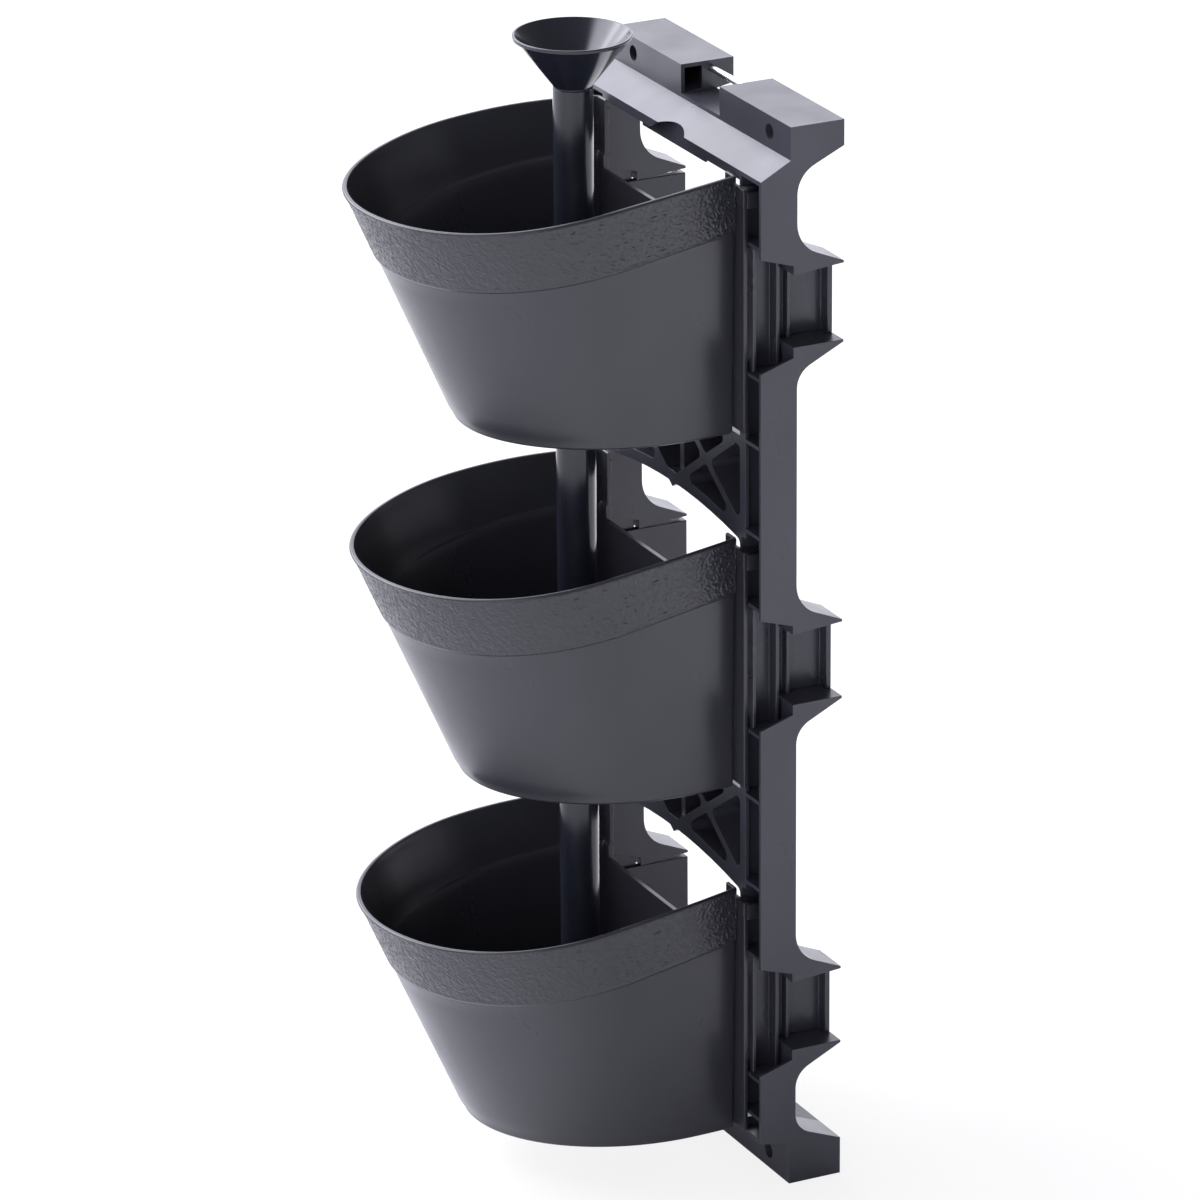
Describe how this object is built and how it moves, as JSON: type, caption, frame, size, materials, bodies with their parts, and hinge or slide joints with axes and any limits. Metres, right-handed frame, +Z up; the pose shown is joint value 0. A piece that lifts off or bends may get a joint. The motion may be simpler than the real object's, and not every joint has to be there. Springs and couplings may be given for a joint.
{
  "type": "vertical garden planter",
  "caption": "Wall rack of joined moulded frames with half-round pots hooked on its rails and a watering tube in sections with a funnel on top.",
  "frame": {"origin": "on the wall plane, midway between the two top wall screws", "axes": "+X to the right seen from the front, +Y into the wall, +Z up"},
  "size_m": [0.24, 0.2694, 0.7415],
  "materials": {
    "rack_plastic": "satin anthracite moulding",
    "pot_plastic": "satin anthracite with a grained rim band",
    "tube_plastic": "satin dark anthracite",
    "rod_steel": "bright drawn rod"
  },
  "bodies": {
    "rack": {"top_frame": "rack_plastic", "upper_frame": "rack_plastic", "lower_frame": "rack_plastic", "foot_frame": "rack_plastic", "link_post_1_right": "rack_plastic", "link_post_1_left": "rack_plastic", "link_post_2_right": "rack_plastic", "link_post_2_left": "rack_plastic", "link_post_3_right": "rack_plastic", "link_post_3_left": "rack_plastic", "hanging_rod": "rod_steel"},
    "pot_top": {"pot_top": "pot_plastic"},
    "pot_middle": {"pot_middle": "pot_plastic", "tube_middle": "tube_plastic"},
    "pot_bottom": {"pot_bottom": "pot_plastic", "tube_bottom": "tube_plastic"},
    "water_tube": {"tube_top": "tube_plastic"},
    "funnel": {"funnel": "tube_plastic"}
  },
  "joints": [
    {"name": "pot_top_lift", "type": "slide", "parent": "rack", "child": "pot_top", "axis": [0, 0, 1], "range_m": [0, 0.005]},
    {"name": "pot_middle_lift", "type": "slide", "parent": "rack", "child": "pot_middle", "axis": [0, 0, 1], "range_m": [0, 0.005]},
    {"name": "pot_bottom_lift", "type": "slide", "parent": "rack", "child": "pot_bottom", "axis": [0, 0, 1], "range_m": [0, 0.005]},
    {"name": "tube_draw", "type": "slide", "parent": "pot_top", "child": "water_tube", "axis": [0, 0, 1], "range_m": [0, 0.15]},
    {"name": "funnel_pull", "type": "slide", "parent": "water_tube", "child": "funnel", "axis": [0, 0, 1], "range_m": [0, 0.04]}
  ]
}
